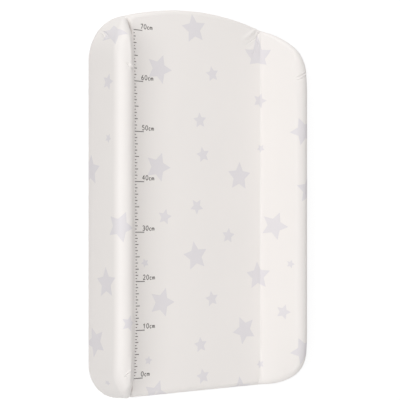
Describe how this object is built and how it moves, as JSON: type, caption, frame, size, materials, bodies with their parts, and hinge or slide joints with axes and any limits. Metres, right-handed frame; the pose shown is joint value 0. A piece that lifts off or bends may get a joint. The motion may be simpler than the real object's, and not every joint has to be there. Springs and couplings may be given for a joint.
{
  "type": "changing mat",
  "caption": "Wedge-sided changing mat: wipe-clean film cover over a flat foam pad with a raised wedge along each side, stiffened by a board, with an arched head end.",
  "frame": {"origin": "on the back face, in the middle of the mat's width and length", "axes": "+Z out of the back face towards the baby's side, +Y towards the arched head end, +X towards the wedge opposite the printed ruler"},
  "size_m": [0.5, 0.794, 0.1035],
  "materials": {
    "printed_film": "smooth white wipe-clean film, satin gloss",
    "back_film": "plain white film",
    "board": "raw hardboard",
    "foam": "open-cell polyurethane foam"
  },
  "bodies": {
    "root": {"top_cover": "printed_film", "back_cover": "back_film", "stiffening_board": "board", "base_foam": "foam", "wedge_foam_left": "foam", "wedge_foam_right": "foam"}
  },
  "joints": []
}
